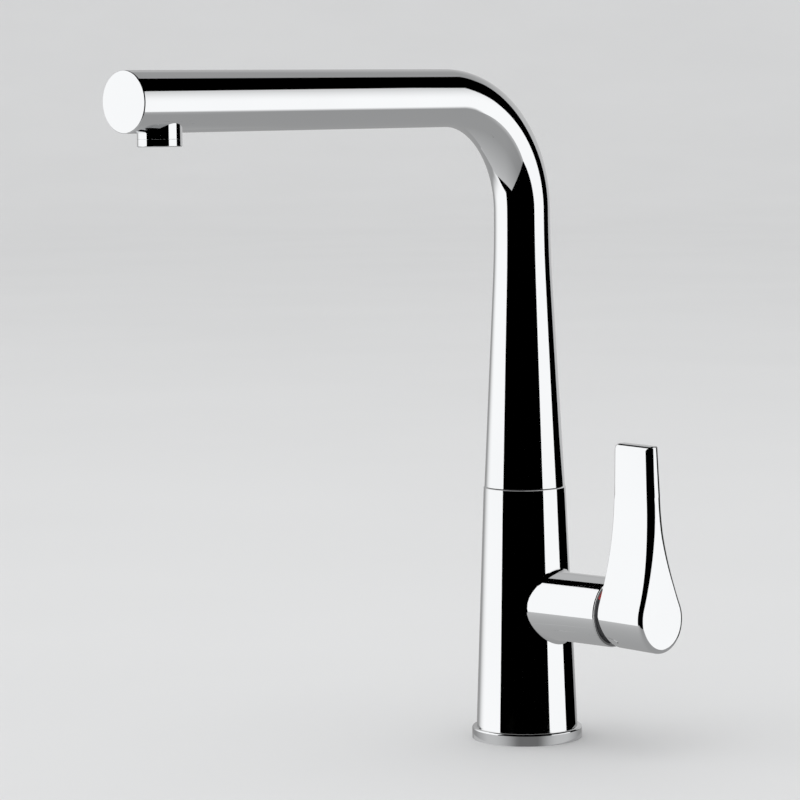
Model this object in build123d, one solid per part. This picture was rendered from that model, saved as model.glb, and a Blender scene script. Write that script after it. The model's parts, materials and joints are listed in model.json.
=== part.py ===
from build123d import *
import math
import os

# Single-lever kitchen faucet: a conical body on a deck ring, a swivelling
# spout with a square bend, and a side lever on a ceramic-disc cartridge.
# Millimetres. The origin is on the deck, on the body's axis. +Z is up,
# the spout points to -Y and the lever barrel to +X.

# Clearances
RUN_FIT = 0.06
SEAT_FIT = 0.05
SLIDE_GAP = 0.3
FILM_GAP = 0.02

# Deck ring and its gasket
RING_R = 25.0
RING_H = 5.4
RING_EDGE = 0.9
RING_W = 5.6
RING_LEDGE = 2.03
GASKET_W = 2.8
GASKET_T = 2.0
GASKET_INSET = 1.6

# Body casting
BODY_TOP_R = 18.59
BODY_TOP = 114.65
SPIGOT_WALL = 2.4
CAVITY_ROOF = 34.0
BARREL_FILLET = 2.0
BARREL_EDGE = 0.5

# Supply ports and fixing stud in the roof of the body's cavity
PORT_R = 4.5
PORT_DEPTH = 12.0
PORT_Y = 6.0
PORT_X = -4.5
STUD_R = 3.4
STUD_DEPTH = 12.0
STUD_X = 9.0
SEAT_WEB = 3.4

# Cartridge, stacked along the barrel from its seat outwards
SEAT_X = 8.0
CARTRIDGE_R = 12.5
CARTRIDGE_WALL = 1.7
BASE_T = 5.0
FIXED_DISC_T = 3.5
MOVING_DISC_T = 4.0
DISC_PLAY = 0.65
MIX_POCKET_R = 5.6
MIX_POCKET_T = 1.8
CARRIER_T = 7.0
CARRIER_STEP = 0.3
TONGUE_W = 1.6
TONGUE_L = 8.0
TONGUE_INSET = 2.0
TONGUE_H = 2.0
ROTOR_FLANGE_T = 7.5
ROTOR_NECK_R = 7.2
ROTOR_NECK_OUT = 4.5
HOUSING_FRONT_T = 3.5
WATERWAY_R = 2.2
INLET_DROP = 3.0
OUTLET_RISE = 6.0
SEAL_W = 1.4
SEAL_T = 1.5
DUCT_R = 3.4

# Nut and index ring in the mouth of the barrel
NUT_WALL = 1.45
NUT_L = 9.45
NUT_PLAY = 1.4
NUT_SLOT_W = 3.0
NUT_SLOT_T = 2.5
INDEX_T = 3.4
INDEX_STEP = 1.0
INDEX_RECESS = 0.5
BARREL_WALL = 1.45
MARK_ANGLE = 45.0
MARK_SPAN = 22.0
MARK_T = 0.6
MARK_W = 1.9
MARK_RIM = 0.5

# Lever, its stem and its pivot
TILT_MAX = 18.0
STEM_SIDE = 6.0
STEM_HEEL = 5.0
STEM_IN_LEVER = 17.6
BALL_SINK = 2.15
ARM_R = 1.5
BALL_R = 2.4
PIN_R = 1.2
LEVER_GAP = 2.1
LEVER_DEPTH = 24.8
LEVER_STEP = 0.4
LEVER_DROOP = 1.9
LEVER_RELIEF = 13.5
FACE_LEAN = 2.5
FACE_EDGE = 3.0
BLADE_TOP = 76.2
BLADE_START = 53.5
BLADE_HALF = 4.0
BLADE_TIP_HALF = 3.5
BLADE_CORNER = 2.2
LEVER_EDGE = 1.0
GRUB_R = 2.5
GRUB_L = 6.0
GRUB_OUT = 11.5
PLUG_L = 3.0
PLUG_RECESS = 0.25

# Swivel between body and spout
SEAM_GAP = 0.6
SEAM_STEP = 0.37
GLIDE_INSET = 1.1
NECK_R = 11.5
NECK_WALL = 1.3
NECK_THREAD_R = 12.0
NECK_THREAD_L = 12.0
NECK_OVER = 1.0
CHAMBER_STEP = 1.0
CHAMBER_FLOOR = 2.5
SOCKET_SKIN = 1.85
SOCKET_L = 34.0
ORING_R = 1.1
ORING_INSET = 6.0
CATCH_DEPTH = 1.5
CATCH_TIP_R = 1.25
CATCH_R = 2.0
CATCH_RECESS = 0.7

# Spout
SPOUT_H = 290.4
SPOUT_REACH = 240.2
SPOUT_WALL = 1.5
TUBE_R = 12.6
BEND_R = 50.6
FLARE_L = 16.9
CAP_T = 2.0
CAP_EDGE = 0.5
CAP_PLUG_L = 6.0

# Outlet and aerator
OUTLET_CLEAR = 2.1
OUTLET_WALL = 0.9
OUTLET_DROP = 2.4
OUTLET_ROOF = 3.0
OUTLET_SHOULDER = 1.7
OUTLET_THREAD_R = 8.2
WASHER_T = 2.0
AERATOR_RIM_H = 3.1
AERATOR_NECK_L = 6.0
AERATOR_WALL = 1.15
AERATOR_LIP = 0.7
AERATOR_EDGE = 0.5
SCREEN_T = 0.4
SCREEN_HOLE_R = 0.5
SCREEN_PITCH = 1.7
SCREEN_ROWS = 7
INSERT_L = 6.4
INSERT_HOLE_R = 0.9
INSERT_HOLES = 6

# Worked-out places along the barrel axis
BORE_R = CARTRIDGE_R + SEAT_FIT
NUT_R = CARTRIDGE_R + NUT_WALL
BARREL_R = NUT_R + SEAT_FIT + BARREL_WALL
BARREL_Z = CAVITY_ROOF + STUD_DEPTH + SEAT_WEB + BORE_R
HOUSING_BORE_R = CARTRIDGE_R - CARTRIDGE_WALL
BASE_FRONT = SEAT_X + BASE_T
FIXED_FRONT = BASE_FRONT + FIXED_DISC_T
MOVING_BACK = FIXED_FRONT + FILM_GAP
MOVING_FRONT = MOVING_BACK + MOVING_DISC_T
CARRIER_FRONT = MOVING_FRONT + CARRIER_T
ROTOR_BACK = CARRIER_FRONT + SLIDE_GAP
ROTOR_STEP = ROTOR_BACK + ROTOR_FLANGE_T
HOUSING_STEP = ROTOR_STEP + SLIDE_GAP
HOUSING_FRONT = HOUSING_STEP + HOUSING_FRONT_T
ROTOR_FRONT = HOUSING_FRONT + ROTOR_NECK_OUT
PIVOT_X = HOUSING_STEP + HOUSING_FRONT_T / 2
BALL_X = CARRIER_FRONT - BALL_SINK
NUT_FRONT = HOUSING_FRONT + NUT_L
INDEX_FRONT = NUT_FRONT + INDEX_T
BARREL_END = INDEX_FRONT + INDEX_RECESS
LEVER_X = BARREL_END + LEVER_GAP
DISC_TRAVEL = (PIVOT_X - BALL_X) * math.sin(math.radians(TILT_MAX))
DISC_Z = BARREL_Z - DISC_TRAVEL / 2
MOVING_DISC_R = HOUSING_BORE_R - DISC_TRAVEL / 2 - DISC_PLAY
CARRIER_R = MOVING_DISC_R - CARRIER_STEP
TONGUE_Y = CARRIER_R - TONGUE_INSET
NUT_BORE_R = ROTOR_NECK_R + NUT_PLAY
INDEX_BORE_R = NUT_BORE_R + INDEX_STEP

# Worked-out places along the body's axis
SPIGOT_R = RING_R - RING_W
BODY_FOOT_R = RING_R - RING_LEDGE
SPOUT_Z = BODY_TOP + SEAM_GAP
SPOUT_FOOT_R = BODY_TOP_R - SEAM_STEP
NECK_TOP = SPOUT_Z + SOCKET_L + NECK_OVER
NECK_BORE_R = NECK_R - 2 * ORING_R - NECK_WALL
CHAMBER_Z = BARREL_Z + BARREL_R + CHAMBER_FLOOR
CHAMBER_R = NECK_THREAD_R - CHAMBER_STEP
BEND_Z = SPOUT_H - BEND_R
OUTLET_R = OUTLET_THREAD_R + OUTLET_WALL
OUTLET_Y = SPOUT_REACH - CAP_T - CAP_PLUG_L - OUTLET_CLEAR - OUTLET_R
OUTLET_BORE_R = OUTLET_THREAD_R - OUTLET_SHOULDER
OUTLET_THREAD_L = AERATOR_NECK_L + WASHER_T
AERATOR_BORE_R = OUTLET_THREAD_R - AERATOR_WALL - SEAT_FIT
SEAM_Z = SPOUT_H - TUBE_R - OUTLET_DROP
OUTLET_TOP = SEAM_Z + OUTLET_THREAD_L + OUTLET_ROOF
AERATOR_Z = SEAM_Z - AERATOR_RIM_H
CATCH_Z = SPOUT_Z + SOCKET_L / 2


def post(radius, low, high, x=0.0, y=0.0):
    """Upright cylinder from one height to another."""
    return Pos(x, y, low) * extrude(Circle(radius), high - low)


def bar_x(radius, start, end, y=0.0, z=BARREL_Z):
    """Cylinder along X."""
    return Pos(start, y, z) * extrude(Plane.YZ * Circle(radius), end - start)


def bar_y(radius, start, end, x=0.0, z=BARREL_Z):
    """Cylinder along Y."""
    return Pos(x, start, z) * extrude(Plane.ZX * Circle(radius), end - start)


def block(low, high):
    """Box between two corners."""
    size = [b - a for a, b in zip(low, high)]
    return Pos(*low) * Box(*size, align=(Align.MIN, Align.MIN, Align.MIN))


def turned(points):
    """Solid of revolution about Z from corners given as radius and height."""
    return revolve(Plane.XZ * make_face(Polyline(*points, close=True)), Axis.Z)


def oring(z):
    """Ring of round section in a groove of the swivel neck."""
    centre = NECK_R + FILM_GAP - ORING_R
    return revolve(Plane.XZ * Pos(centre, z) * Circle(ORING_R), Axis.Z)


def waterways(start, end, radius=WATERWAY_R):
    """Two inlets and one outlet of the cartridge, between two stations."""
    low = BARREL_Z - INLET_DROP
    left = bar_x(radius, start, end, -PORT_Y, low)
    right = bar_x(radius, start, end, PORT_Y, low)
    return left + right + bar_x(radius, start, end, 0, BARREL_Z + OUTLET_RISE)


# Deck ring and gasket
def base_ring():
    ring = post(RING_R, 0, RING_H)
    ring = fillet(ring.faces().sort_by(Axis.Z)[-1].edges(), RING_EDGE)
    groove_out = RING_R - GASKET_INSET
    groove = post(groove_out, 0, GASKET_T) - post(groove_out - GASKET_W, 0, GASKET_T)
    return ring - post(SPIGOT_R + SEAT_FIT, 0, RING_H) - groove


def base_gasket():
    outer = RING_R - GASKET_INSET - SEAT_FIT
    inner = RING_R - GASKET_INSET - GASKET_W + SEAT_FIT
    return post(outer, 0, GASKET_T) - post(inner, 0, GASKET_T)


# Body casting with its side barrel, cavity, ports and waterways
def body_casting():
    foot = [(0, RING_H), (BODY_FOOT_R, RING_H), (BODY_TOP_R, BODY_TOP), (0, BODY_TOP)]
    cone = turned(foot)
    barrel = bar_x(BARREL_R, 0, BARREL_END)
    body = cone + barrel
    root = [
        e for e in body.edges()
        if e.geom_type not in (GeomType.CIRCLE, GeomType.LINE) and e.center().X > 0
    ]
    body = fillet(root, BARREL_FILLET)
    mouth = body.faces().sort_by(Axis.X)[-1].edges()
    body = fillet(mouth, BARREL_EDGE)
    body += post(SPIGOT_R, 0, RING_H)
    body -= post(SPIGOT_R - SPIGOT_WALL, 0, CAVITY_ROOF)
    body -= bar_x(BORE_R, SEAT_X, BARREL_END)
    body -= bar_x(NUT_R + SEAT_FIT, HOUSING_FRONT, BARREL_END)
    inlet_z = BARREL_Z - INLET_DROP
    for y in (-PORT_Y, PORT_Y):
        body -= post(PORT_R, CAVITY_ROOF, CAVITY_ROOF + PORT_DEPTH, PORT_X, y)
        body -= post(WATERWAY_R, CAVITY_ROOF, inlet_z, PORT_X, y)
        body -= Pos(PORT_X, y, inlet_z) * Sphere(WATERWAY_R)
    body -= bar_x(WATERWAY_R, PORT_X, SEAT_X, -PORT_Y, inlet_z)
    body -= bar_x(WATERWAY_R, PORT_X, SEAT_X, PORT_Y, inlet_z)
    outlet_z = BARREL_Z + OUTLET_RISE
    body -= bar_x(WATERWAY_R, 0, SEAT_X, 0, outlet_z)
    body -= post(DUCT_R, outlet_z, BODY_TOP)
    body -= post(CHAMBER_R, CHAMBER_Z, BODY_TOP)
    body -= post(NECK_THREAD_R + SEAT_FIT, BODY_TOP - NECK_THREAD_L, BODY_TOP)
    return body - post(STUD_R, CAVITY_ROOF, CAVITY_ROOF + STUD_DEPTH, STUD_X)


# Swivel neck, its seals and the glide ring in the seam
def oring_heights():
    return (SPOUT_Z + ORING_INSET, SPOUT_Z + SOCKET_L - ORING_INSET)


def swivel_neck():
    neck = post(NECK_THREAD_R, BODY_TOP - NECK_THREAD_L, BODY_TOP)
    neck += post(NECK_R, BODY_TOP, NECK_TOP)
    neck -= post(NECK_BORE_R, BODY_TOP - NECK_THREAD_L, NECK_TOP)
    floor = NECK_R - 2 * ORING_R
    half = ORING_R + SEAT_FIT
    for z in oring_heights():
        neck -= post(NECK_R, z - half, z + half) - post(floor, z - half, z + half)
    half = CATCH_TIP_R + SLIDE_GAP
    catch = post(NECK_R, CATCH_Z - half, CATCH_Z + half)
    return neck - (catch - post(NECK_R - CATCH_DEPTH, CATCH_Z - half, CATCH_Z + half))


def glide_ring():
    top = SPOUT_Z - FILM_GAP
    return post(SPOUT_FOOT_R - GLIDE_INSET, BODY_TOP, top) - post(NECK_R + RUN_FIT, BODY_TOP, top)


# Spout: a cone that flares into an upright tube, a square bend and an arm
def flare_lean():
    """Lean of the cone's side, which meets the tube's side below the bend."""
    return math.atan2(SPOUT_FOOT_R - TUBE_R, BEND_Z - FLARE_L - SPOUT_Z)


def flare_touch():
    """Radius and height where the cone's straight side meets the flare's arc."""
    lean = flare_lean()
    return TUBE_R + FLARE_L * math.sin(lean), BEND_Z - FLARE_L - FLARE_L * math.cos(lean)


def spout_radius(z):
    """Outer radius of the cone's straight side at a height."""
    return SPOUT_FOOT_R - (z - SPOUT_Z) * math.tan(flare_lean())


def socket_radius():
    """Outer radius of the sleeve that lines the foot of the spout."""
    return spout_radius(SPOUT_Z + SOCKET_L) - SOCKET_SKIN


def spout_core(inset, end):
    """Solid spout, thinner by an inset all round, out to a given reach."""
    flare = FLARE_L / math.tan(flare_lean() / 2)
    touch = Vector(*flare_touch())
    centre = Vector(TUBE_R + flare, BEND_Z)
    inward = (touch - centre).normalized()
    radius = flare + inset
    start = centre + inward * radius
    finish = Vector(TUBE_R - inset, BEND_Z)
    middle = centre + (start + finish - centre * 2).normalized() * radius
    foot = Vector(spout_radius(SPOUT_Z) - inset, SPOUT_Z)
    outline = [
        Line((0, SPOUT_Z), foot),
        Line(foot, start),
        ThreePointArc(start, middle, finish),
        Line(finish, (0, BEND_Z)),
        Line((0, BEND_Z), (0, SPOUT_Z)),
    ]
    column = revolve(Plane.XZ * make_face(outline), Axis.Z)
    disc = Pos(0, 0, BEND_Z) * Circle(TUBE_R - inset)
    bend = revolve(disc, Axis((0, -BEND_R, BEND_Z), (1, 0, 0)), 90)
    return column + bend + bar_y(TUBE_R - inset, -end, -BEND_R, 0, SPOUT_H)


def spout_shell():
    end = SPOUT_REACH - CAP_T
    shell = spout_core(0, end) - spout_core(SPOUT_WALL, end)
    shell -= post(socket_radius() + SEAT_FIT, SPOUT_Z, SPOUT_Z + SOCKET_L)
    shell -= post(OUTLET_R + SEAT_FIT, SPOUT_H - TUBE_R, SPOUT_H, 0, -OUTLET_Y)
    return shell - bar_y(CATCH_R + SEAT_FIT, NECK_R, spout_radius(SPOUT_Z), 0, CATCH_Z)


def spout_end_cap():
    flange = bar_y(TUBE_R, -SPOUT_REACH, CAP_T - SPOUT_REACH, 0, SPOUT_H)
    flange = fillet(flange.faces().sort_by(Axis.Y)[0].edges(), CAP_EDGE)
    plug_end = CAP_T + CAP_PLUG_L - SPOUT_REACH
    return flange + bar_y(TUBE_R - SPOUT_WALL - SEAT_FIT, CAP_T - SPOUT_REACH, plug_end, 0, SPOUT_H)


def swivel_socket():
    sleeve = post(socket_radius(), SPOUT_Z, SPOUT_Z + SOCKET_L)
    sleeve -= post(NECK_R + RUN_FIT + FILM_GAP, SPOUT_Z, SPOUT_Z + SOCKET_L)
    return sleeve - bar_y(CATCH_R + SEAT_FIT, 0, socket_radius(), 0, CATCH_Z)


def retaining_screw():
    shoulder = NECK_R + SLIDE_GAP
    end = spout_radius(CATCH_Z) - CATCH_RECESS
    tip = NECK_R - CATCH_DEPTH + SLIDE_GAP
    screw = bar_y(CATCH_R, shoulder, end, 0, CATCH_Z) + bar_y(CATCH_TIP_R, tip, shoulder, 0, CATCH_Z)
    key = Pos(0, end, CATCH_Z) * extrude(Plane.ZX * RegularPolygon(CATCH_R / 2, 6), -CATCH_R)
    return screw - key


# Outlet and aerator under the end of the arm
def outlet_spigot():
    spigot = post(OUTLET_R, SEAM_Z, OUTLET_TOP, 0, -OUTLET_Y)
    spigot -= post(OUTLET_BORE_R, SEAM_Z, OUTLET_TOP, 0, -OUTLET_Y)
    return spigot - post(OUTLET_THREAD_R, SEAM_Z, SEAM_Z + OUTLET_THREAD_L, 0, -OUTLET_Y)


def aerator_shell():
    rim = post(OUTLET_R, AERATOR_Z, SEAM_Z, 0, -OUTLET_Y)
    rim = fillet(rim.faces().sort_by(Axis.Z)[0].edges(), AERATOR_EDGE)
    rim += post(OUTLET_THREAD_R - SEAT_FIT, SEAM_Z, SEAM_Z + AERATOR_NECK_L, 0, -OUTLET_Y)
    rim -= post(AERATOR_BORE_R - AERATOR_LIP, AERATOR_Z, SEAM_Z, 0, -OUTLET_Y)
    return rim - post(AERATOR_BORE_R, AERATOR_Z + AERATOR_LIP, SEAM_Z + AERATOR_NECK_L, 0, -OUTLET_Y)


def aerator_screen():
    radius = AERATOR_BORE_R - SEAT_FIT
    net = Circle(radius)
    holes = HexLocations(SCREEN_PITCH / 2, SCREEN_ROWS, SCREEN_ROWS)
    reach = radius - SCREEN_PITCH
    net -= [loc * Circle(SCREEN_HOLE_R) for loc in holes if loc.position.length < reach]
    return Pos(0, -OUTLET_Y, AERATOR_Z + AERATOR_LIP) * extrude(net, SCREEN_T)


def aerator_insert():
    low = AERATOR_Z + AERATOR_LIP + SCREEN_T
    plate = Circle(AERATOR_BORE_R - SEAT_FIT) - Circle(INSERT_HOLE_R)
    plate -= PolarLocations(AERATOR_BORE_R / 2, INSERT_HOLES) * Circle(INSERT_HOLE_R)
    return Pos(0, -OUTLET_Y, low) * extrude(plate, INSERT_L)


def aerator_washer():
    low = SEAM_Z + AERATOR_NECK_L
    high = SEAM_Z + OUTLET_THREAD_L
    washer = post(OUTLET_THREAD_R - SEAT_FIT, low, high, 0, -OUTLET_Y)
    return washer - post(OUTLET_BORE_R, low, high, 0, -OUTLET_Y)


# Cartridge pieces that stay with the body
def cartridge_base():
    base = bar_x(CARTRIDGE_R, SEAT_X, BASE_FRONT) - waterways(SEAT_X, BASE_FRONT)
    return base - waterways(SEAT_X, SEAT_X + SEAL_T, WATERWAY_R + SEAL_W + SEAT_FIT)


def cartridge_base_seals():
    rings = waterways(SEAT_X, SEAT_X + SEAL_T, WATERWAY_R + SEAL_W)
    return rings - waterways(SEAT_X, SEAT_X + SEAL_T)


def fixed_ceramic_disc():
    disc = bar_x(HOUSING_BORE_R - SEAT_FIT, BASE_FRONT, FIXED_FRONT)
    return disc - waterways(BASE_FRONT, FIXED_FRONT)


def cartridge_housing():
    housing = bar_x(CARTRIDGE_R, BASE_FRONT, HOUSING_FRONT)
    housing -= bar_x(HOUSING_BORE_R, BASE_FRONT, HOUSING_STEP)
    return housing - bar_x(ROTOR_NECK_R + RUN_FIT, HOUSING_STEP, HOUSING_FRONT)


def cartridge_nut():
    nut = bar_x(NUT_R, HOUSING_FRONT, NUT_FRONT) - bar_x(NUT_BORE_R, HOUSING_FRONT, NUT_FRONT)
    half = NUT_SLOT_W / 2
    back = NUT_FRONT - NUT_SLOT_T
    nut -= block((back, -NUT_R, BARREL_Z - half), (NUT_FRONT, NUT_R, BARREL_Z + half))
    return nut - block((back, -half, BARREL_Z - NUT_R), (NUT_FRONT, half, BARREL_Z + NUT_R))


# Index ring with its hot and cold marks
def mark(side, play=0.0):
    """Inlay in the index ring, to the front or the back of its top."""
    outer = NUT_R - MARK_RIM
    inner = outer - MARK_W
    back = INDEX_FRONT - MARK_T
    band = bar_x(outer + play, back, INDEX_FRONT) - bar_x(inner - play, back, INDEX_FRONT)
    turn = MARK_SPAN / 2 + math.degrees(play / outer)
    far = 2 * NUT_R
    spread = far * math.tan(math.radians(turn))
    wedge = make_face(Polyline((0, 0), (spread, far), (-spread, far), close=True))
    wedge = extrude(Plane.YZ * wedge, INDEX_T)
    return band & (Pos(back, 0, BARREL_Z) * Rot(side * MARK_ANGLE, 0, 0) * wedge)


def index_ring():
    ring = bar_x(NUT_R, NUT_FRONT, INDEX_FRONT) - bar_x(INDEX_BORE_R, NUT_FRONT, INDEX_FRONT)
    return ring - mark(1, SEAT_FIT) - mark(-1, SEAT_FIT)


# Discs and carrier that the lever slides across the seat
def moving_ceramic_disc():
    disc = bar_x(MOVING_DISC_R, MOVING_BACK, MOVING_FRONT, 0, DISC_Z)
    return disc - bar_x(MIX_POCKET_R, MOVING_BACK, MOVING_BACK + MIX_POCKET_T, 0, DISC_Z)


def tongues(play=0.0):
    """Two keys on the carrier, or with play their grooves in the rotor."""
    half_w = TONGUE_W / 2 + play
    half_l = TONGUE_L / 2 if play == 0.0 else 2 * CARTRIDGE_R
    low = CARRIER_FRONT
    high = CARRIER_FRONT + TONGUE_H + play
    pair = []
    for y in (-TONGUE_Y, TONGUE_Y):
        pair.append(block((low, y - half_w, DISC_Z - half_l), (high, y + half_w, DISC_Z + half_l)))
    return pair[0] + pair[1]


def disc_carrier():
    carrier = bar_x(CARRIER_R, MOVING_FRONT, CARRIER_FRONT, 0, DISC_Z) + tongues()
    pocket_back = BALL_X - BALL_R - SLIDE_GAP
    return carrier - bar_x(BALL_R + 2 * RUN_FIT, pocket_back, CARRIER_FRONT)


# Rotor that turns with the lever
def stem_slot_half():
    """Half height of the rotor's slot, clear of the stem at full tilt."""
    tilt = math.radians(TILT_MAX)
    half = STEM_SIDE / 2
    inner = ARM_R / math.cos(tilt) + (PIVOT_X - ROTOR_BACK) * math.tan(tilt)
    outer = half / math.cos(tilt) + (ROTOR_FRONT - PIVOT_X) * math.tan(tilt)
    return max(inner, outer) + SLIDE_GAP


def stem_carrier():
    rotor = bar_x(HOUSING_BORE_R - RUN_FIT, ROTOR_BACK, ROTOR_STEP)
    rotor += bar_x(ROTOR_NECK_R, ROTOR_STEP, ROTOR_FRONT)
    half_y = STEM_SIDE / 2 + SLIDE_GAP
    half_z = stem_slot_half()
    low = (ROTOR_BACK, -half_y, BARREL_Z - half_z)
    rotor -= block(low, (ROTOR_FRONT, half_y, BARREL_Z + half_z))
    rotor -= tongues(SLIDE_GAP)
    return rotor - bar_y(PIN_R + FILM_GAP, -ROTOR_NECK_R, ROTOR_NECK_R, PIVOT_X)


def pivot_pin():
    half = ROTOR_NECK_R - SLIDE_GAP * 2
    return bar_y(PIN_R, -half, half, PIVOT_X)


# Lever with its stem, grub screw and plug
def lever_stem():
    half = STEM_SIDE / 2
    end = LEVER_X + STEM_IN_LEVER
    heel = PIVOT_X - STEM_HEEL
    stem = block((heel, -half, BARREL_Z - half), (end, half, BARREL_Z + half))
    stem += bar_x(ARM_R, BALL_X, heel)
    stem += Pos(BALL_X, 0, BARREL_Z) * Sphere(BALL_R)
    return stem - bar_y(PIN_R + RUN_FIT, -half, half, PIVOT_X)


def lever_slope():
    """Fall of the lever's underside for each millimetre outwards."""
    return math.tan(math.radians(LEVER_DROOP))


def teardrop():
    """Outline of the lever seen along the barrel, centred on its axis."""
    radius = BARREL_R - LEVER_STEP
    rise = BLADE_START
    gap = radius - BLADE_HALF
    hollow = (BLADE_HALF ** 2 + rise ** 2 - radius ** 2) / (2 * gap)
    centre = Vector(BLADE_HALF + hollow, rise)
    touch = centre.normalized() * radius
    start = Vector(BLADE_HALF, rise)
    middle = centre + (touch + start - centre * 2).normalized() * hollow
    tip = Vector(BLADE_TIP_HALF, BLADE_TOP + LEVER_DEPTH * lever_slope())

    def far(p):
        return (-p.X, p.Y)

    outline = [
        ThreePointArc(touch, (0, -radius), far(touch)),
        ThreePointArc(far(touch), far(middle), far(start)),
        Line(far(start), far(tip)),
        Line(far(tip), tip),
        Line(tip, start),
        ThreePointArc(start, middle, touch),
    ]
    return make_face(outline)


def lean_plane(x, angle):
    """Plane through the barrel axis that leans back by an angle."""
    lean = math.radians(angle)
    return Plane(origin=(x, 0, BARREL_Z), z_dir=(math.cos(lean), 0, math.sin(lean)))


def lever_handle():
    profile = Pos(LEVER_X, 0, BARREL_Z) * (Plane.YZ * teardrop())
    lever = extrude(profile, 2 * LEVER_DEPTH, dir=(1, 0, -lever_slope()))
    top = Plane(origin=(0, 0, BARREL_Z + BLADE_TOP), z_dir=(0, 0, 1))
    lever = split(lever, top, keep=Keep.BOTTOM)
    lever = split(lever, lean_plane(LEVER_X + LEVER_DEPTH, FACE_LEAN), keep=Keep.BOTTOM)
    crown = lever.faces().sort_by(Axis.Z)[-1]
    lever = fillet(crown.edges().sort_by(SortBy.LENGTH)[-2:], BLADE_CORNER)
    lever = fillet(lever.faces().sort_by(Axis.X)[-1].edges(), FACE_EDGE)
    lever = split(lever, lean_plane(LEVER_X, LEVER_RELIEF), keep=Keep.TOP)
    back = [f for f in lever.faces() if f.normal_at().X < -0.9]
    shared = back[0].edges() & back[1].edges()
    rim = [e for f in back for e in f.edges() if e not in shared]
    lever = fillet(rim, LEVER_EDGE)
    half = STEM_SIDE / 2 + SEAT_FIT
    end = LEVER_X + STEM_IN_LEVER + SEAT_FIT
    lever -= block((PIVOT_X, -half, BARREL_Z - half), (end, half, BARREL_Z + half))
    return lever - post(GRUB_R + SEAT_FIT, 0, BARREL_Z, LEVER_X + GRUB_OUT)


def lever_floor():
    """Height of the lever's underside below its screw."""
    return BARREL_Z - BARREL_R + LEVER_STEP - GRUB_OUT * lever_slope()


def lever_grub_screw():
    top = BARREL_Z - STEM_SIDE / 2
    screw = post(GRUB_R, top - GRUB_L, top, LEVER_X + GRUB_OUT)
    key = Pos(LEVER_X + GRUB_OUT, 0, top - GRUB_L) * extrude(RegularPolygon(GRUB_R / 2, 6), GRUB_L / 2)
    return screw - key


def lever_screw_plug():
    low = lever_floor() + PLUG_RECESS
    return post(GRUB_R, low, low + PLUG_L, LEVER_X + GRUB_OUT)


def hot_mark():
    return mark(1)


def cold_mark():
    return mark(-1)


def upper_oring():
    return oring(oring_heights()[1])


def lower_oring():
    return oring(oring_heights()[0])


NODES = {
    "base_ring": base_ring,
    "base_gasket": base_gasket,
    "body_casting": body_casting,
    "swivel_neck": swivel_neck,
    "upper_neck_oring": upper_oring,
    "lower_neck_oring": lower_oring,
    "swivel_glide_ring": glide_ring,
    "cartridge_base": cartridge_base,
    "cartridge_base_seals": cartridge_base_seals,
    "cartridge_housing": cartridge_housing,
    "fixed_ceramic_disc": fixed_ceramic_disc,
    "cartridge_nut": cartridge_nut,
    "index_ring": index_ring,
    "hot_mark": hot_mark,
    "cold_mark": cold_mark,
    "spout_shell": spout_shell,
    "spout_end_cap": spout_end_cap,
    "swivel_socket": swivel_socket,
    "spout_retaining_screw": retaining_screw,
    "outlet_spigot": outlet_spigot,
    "aerator_shell": aerator_shell,
    "aerator_insert": aerator_insert,
    "aerator_screen": aerator_screen,
    "aerator_washer": aerator_washer,
    "moving_ceramic_disc": moving_ceramic_disc,
    "disc_carrier": disc_carrier,
    "stem_carrier": stem_carrier,
    "pivot_pin": pivot_pin,
    "lever_handle": lever_handle,
    "lever_stem": lever_stem,
    "lever_grub_screw": lever_grub_screw,
    "lever_screw_plug": lever_screw_plug,
}

os.makedirs("parts", exist_ok=True)
for name, make in NODES.items():
    export_step(make(), f"parts/{name}.step")
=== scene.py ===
"""Kitchen faucet in polished chrome: its bright pieces, the finishes of all pieces and a plain studio."""

import json
from math import asin, atan2, cos, hypot, pi, radians, sin, sqrt, tan

import bmesh
import bpy
from bpy.props import FloatProperty, FloatVectorProperty, PointerProperty
from mathutils import Matrix, Vector


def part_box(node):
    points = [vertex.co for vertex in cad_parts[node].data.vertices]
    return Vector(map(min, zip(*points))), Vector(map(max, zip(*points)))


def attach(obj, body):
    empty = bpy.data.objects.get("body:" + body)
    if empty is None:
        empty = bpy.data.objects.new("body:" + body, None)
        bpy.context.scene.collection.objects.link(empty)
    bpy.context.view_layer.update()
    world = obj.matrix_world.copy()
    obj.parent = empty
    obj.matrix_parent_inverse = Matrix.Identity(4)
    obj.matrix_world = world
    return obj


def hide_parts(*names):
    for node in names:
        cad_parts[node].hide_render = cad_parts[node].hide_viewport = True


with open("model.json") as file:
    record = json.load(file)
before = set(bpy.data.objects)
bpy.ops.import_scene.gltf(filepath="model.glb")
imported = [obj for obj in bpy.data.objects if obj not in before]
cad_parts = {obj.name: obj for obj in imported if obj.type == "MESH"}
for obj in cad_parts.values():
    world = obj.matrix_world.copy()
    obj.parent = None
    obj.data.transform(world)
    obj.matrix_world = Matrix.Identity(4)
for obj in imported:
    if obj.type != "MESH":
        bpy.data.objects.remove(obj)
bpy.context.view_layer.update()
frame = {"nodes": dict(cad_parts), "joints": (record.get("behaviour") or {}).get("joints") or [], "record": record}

bl_info = {
    "name": "Chrome kitchen faucet",
    "version": (1, 0, 0),
    "blender": (4, 5, 0),
    "location": "View3D > Sidebar > Faucet",
    "description": "Builds the polished pieces of a single-lever kitchen faucet, its finishes and a studio",
    "category": "Object",
}

MM = 0.001

# Modelling: facets and steps of round shapes
FACETS = 144
HOLE_FACETS = 48
EDGE_STEPS = 6
SEAM_STEPS = 3
LEVER_EDGE_STEPS = 10
FLARE_STEPS = 8
BEND_STEPS = 48
HUB_STEPS = 56
HOLLOW_STEPS = 20

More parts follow.
